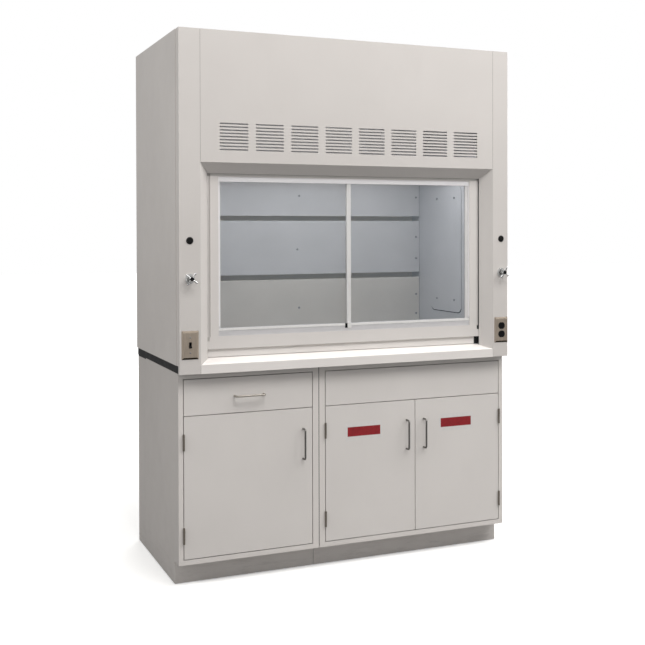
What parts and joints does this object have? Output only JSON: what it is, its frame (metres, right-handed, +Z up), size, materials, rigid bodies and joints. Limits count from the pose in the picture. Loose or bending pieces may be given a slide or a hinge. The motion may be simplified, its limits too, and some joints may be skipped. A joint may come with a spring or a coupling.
{
  "type": "fume hood",
  "caption": "Walk-up bench fume hood with a counterbalanced rising sash, sliding glass panes, slotted baffles and steel base cabinets with a drawer and hinged doors.",
  "frame": {"origin": "on the floor, at the middle of the whole object's width and depth", "axes": "+Z up, the front faces -Y, +X to the right when facing the hood"},
  "size_m": [1.524, 0.784, 2.232],
  "materials": {
    "painted_steel": "warm grey-white powder coat with a fine orange-peel texture",
    "liner_board": "smooth pale blue-grey glass-fibre liner board",
    "galvanised": "galvanised steel with a faint spangle",
    "collar_steel": "brushed stainless steel",
    "lamp_house": "white enamel",
    "lamp_tube": "phosphor-coated white glass",
    "lens": "tempered glass",
    "sill_paint": "off-white powder coat",
    "epoxy": "cast black epoxy resin, satin",
    "aluminium": "clear anodised extrusion, drawn along its length",
    "rubber": "matt black moulded rubber",
    "black_plastic": "black moulded thermoset",
    "plate_steel": "brushed stainless steel with a warm cast",
    "valve_chrome": "polished chrome plate",
    "valve_body": "cast brass",
    "tray_plastic": "moulded polypropylene",
    "runner_steel": "zinc-plated rolled steel",
    "hinge_steel": "dark oxidised steel",
    "foot_steel": "zinc-plated steel",
    "cable": "stranded stainless steel",
    "weight_iron": "bare steel bar with a dark primer",
    "sheave_plastic": "white moulded nylon",
    "glazing": "clear laminated safety glass",
    "pull_steel": "brushed stainless rod",
    "screw_steel": "stainless pan-head screws"
  },
  "bodies": {
    "root": {"outer_sides": "painted_steel", "front_posts": "painted_steel", "front_access_panel": "painted_steel", "roof_liner": "liner_board", "side_liners": "liner_board", "rear_liner": "liner_board", "baffle_upper": "liner_board", "baffle_middle": "liner_board", "baffle_lower": "liner_board", "baffle_supports": "galvanised", "liner_fixings": "screw_steel", "liner_hatches": "liner_board", "exhaust_collar": "collar_steel", "light_housing": "lamp_house", "light_tubes": "lamp_tube", "light_lens": "lens", "airfoil_sill": "sill_paint", "worktop": "epoxy", "sash_tracks": "aluminium", "sash_bumpers": "rubber", "superstructure_frame": "galvanised", "service_plates": "plate_steel", "wiring_devices": "black_plastic", "service_valves": "valve_body", "hole_plugs": "black_plastic", "cabinet_left_body": "painted_steel", "cabinet_right_body": "painted_steel", "rear_fillers": "painted_steel", "cabinet_left_shelf": "painted_steel", "acid_tray": "tray_plastic", "acid_fascia": "painted_steel", "drawer_runners": "runner_steel", "hinge_frame_halves": "hinge_steel", "levelling_feet": "foot_steel", "sash_cables": "cable"},
    "toggle": {"light_toggle": "black_plastic"},
    "valve_left": {"valve_handle_left": "valve_chrome"},
    "valve_right": {"valve_handle_right": "valve_chrome"},
    "sash": {"sash_frame": "painted_steel", "sash_pane_rails": "aluminium", "sash_guides": "black_plastic"},
    "weight": {"counterweight": "weight_iron"},
    "front_sheave_pair": {"front_sheaves": "sheave_plastic"},
    "rear_sheave_pair": {"rear_sheaves": "sheave_plastic"},
    "pane_left": {"pane_left_glass": "glazing", "pane_left_edges": "aluminium"},
    "pane_right": {"pane_right_glass": "glazing", "pane_right_edges": "aluminium"},
    "drawer": {"drawer_box": "painted_steel", "drawer_front": "painted_steel", "drawer_pull": "pull_steel"},
    "door_left": {"left_door": "painted_steel", "left_door_pull": "pull_steel", "left_door_leaves": "hinge_steel"},
    "door_acid_left": {"acid_door_left": "painted_steel", "acid_door_left_pull": "pull_steel", "acid_door_left_leaves": "hinge_steel"},
    "door_acid_right": {"acid_door_right": "painted_steel", "acid_door_right_pull": "pull_steel", "acid_door_right_leaves": "hinge_steel"}
  },
  "joints": [
    {"name": "sash_lift", "type": "slide", "parent": "root", "child": "sash", "axis": [0, 0, 1], "range_m": [0, 0.457], "deforming": ["sash_cables"]},
    {"name": "weight_drop", "type": "slide", "parent": "root", "child": "weight", "axis": [0, 0, 1], "range_m": [-0.46, 0.003]},
    {"name": "front_sheave_spin", "type": "hinge", "parent": "root", "child": "front_sheave_pair", "pos_m": [0, -0.276, 2.19], "axis": [1, 0, 0], "range_deg": [-1100, 10]},
    {"name": "rear_sheave_spin", "type": "hinge", "parent": "root", "child": "rear_sheave_pair", "pos_m": [0, 0.344, 2.19], "axis": [1, 0, 0], "range_deg": [-1100, 10]},
    {"name": "pane_left_slide", "type": "slide", "parent": "sash", "child": "pane_left", "axis": [1, 0, 0], "range_m": [0, 0.56]},
    {"name": "pane_right_slide", "type": "slide", "parent": "sash", "child": "pane_right", "axis": [-1, 0, 0], "range_m": [0, 0.56]},
    {"name": "valve_left_turn", "type": "hinge", "parent": "root", "child": "valve_left", "pos_m": [-0.717, -0.383, 1.24], "axis": [0, -1, 0], "range_deg": [0, 630]},
    {"name": "valve_right_turn", "type": "hinge", "parent": "root", "child": "valve_right", "pos_m": [0.725, -0.383, 1.24], "axis": [0, -1, 0], "range_deg": [0, 630]},
    {"name": "light_toggle_flip", "type": "hinge", "parent": "root", "child": "toggle", "pos_m": [-0.717, -0.352, 0.977], "axis": [1, 0, 0], "range_deg": [-36, 0]},
    {"name": "drawer_slide", "type": "slide", "parent": "root", "child": "drawer", "axis": [0, -1, 0], "range_m": [0, 0.4]},
    {"name": "door_left_swing", "type": "hinge", "parent": "root", "child": "door_left", "pos_m": [-0.735, -0.3245, 0.4], "axis": [0, 0, -1], "range_deg": [0, 105]},
    {"name": "door_acid_left_swing", "type": "hinge", "parent": "root", "child": "door_acid_left", "pos_m": [-0.1207, -0.3245, 0.4], "axis": [0, 0, -1], "range_deg": [0, 105]},
    {"name": "door_acid_right_swing", "type": "hinge", "parent": "root", "child": "door_acid_right", "pos_m": [0.735, -0.3245, 0.4], "axis": [0, 0, 1], "range_deg": [0, 105]}
  ],
  "couplings": [
    {"joint": "weight_drop", "follows": "sash_lift", "ratio": -1},
    {"joint": "front_sheave_spin", "follows": "sash_lift", "rad_per_m": -41.667},
    {"joint": "rear_sheave_spin", "follows": "sash_lift", "rad_per_m": -41.667}
  ]
}
